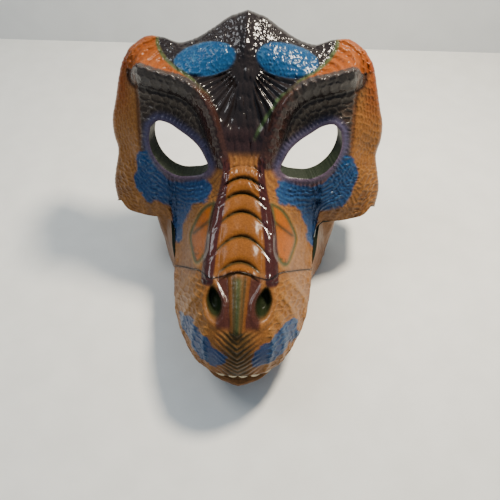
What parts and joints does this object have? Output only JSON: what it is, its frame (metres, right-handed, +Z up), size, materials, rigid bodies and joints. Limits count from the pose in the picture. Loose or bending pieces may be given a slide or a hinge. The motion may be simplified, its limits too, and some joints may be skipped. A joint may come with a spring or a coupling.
{
  "type": "dinosaur mask",
  "caption": "Hard plastic toy mask of a meat-eating dinosaur's head, with heavy brows, eye holes, a long snout and a hinged lower jaw.",
  "frame": {"origin": "on the surface that the mask stands on, under the middle of its box", "axes": "+Z up, -Y towards the snout, +X to the right of someone who faces the snout"},
  "size_m": [0.2322, 0.2314, 0.2133],
  "materials": {
    "painted_skin": "sprayed orange-tan skin with glossy dark brows and crown, blue patches and dark green lines",
    "painted_nose": "sprayed orange-brown snout with a green striped keel and blue patches",
    "jaw_brown": "satin brown over dark green plastic",
    "tooth_cream": "satin cream"
  },
  "bodies": {
    "face": {"face_shell": "painted_skin", "nose_piece": "painted_nose", "upper_teeth": "tooth_cream"},
    "jaw": {"lower_jaw": "jaw_brown"}
  },
  "joints": [
    {"name": "jaw_hinge", "type": "hinge", "parent": "face", "child": "jaw", "pos_m": [0, 0.0438, 0.072], "axis": [1, 0, 0], "range_deg": [0, 22]}
  ]
}
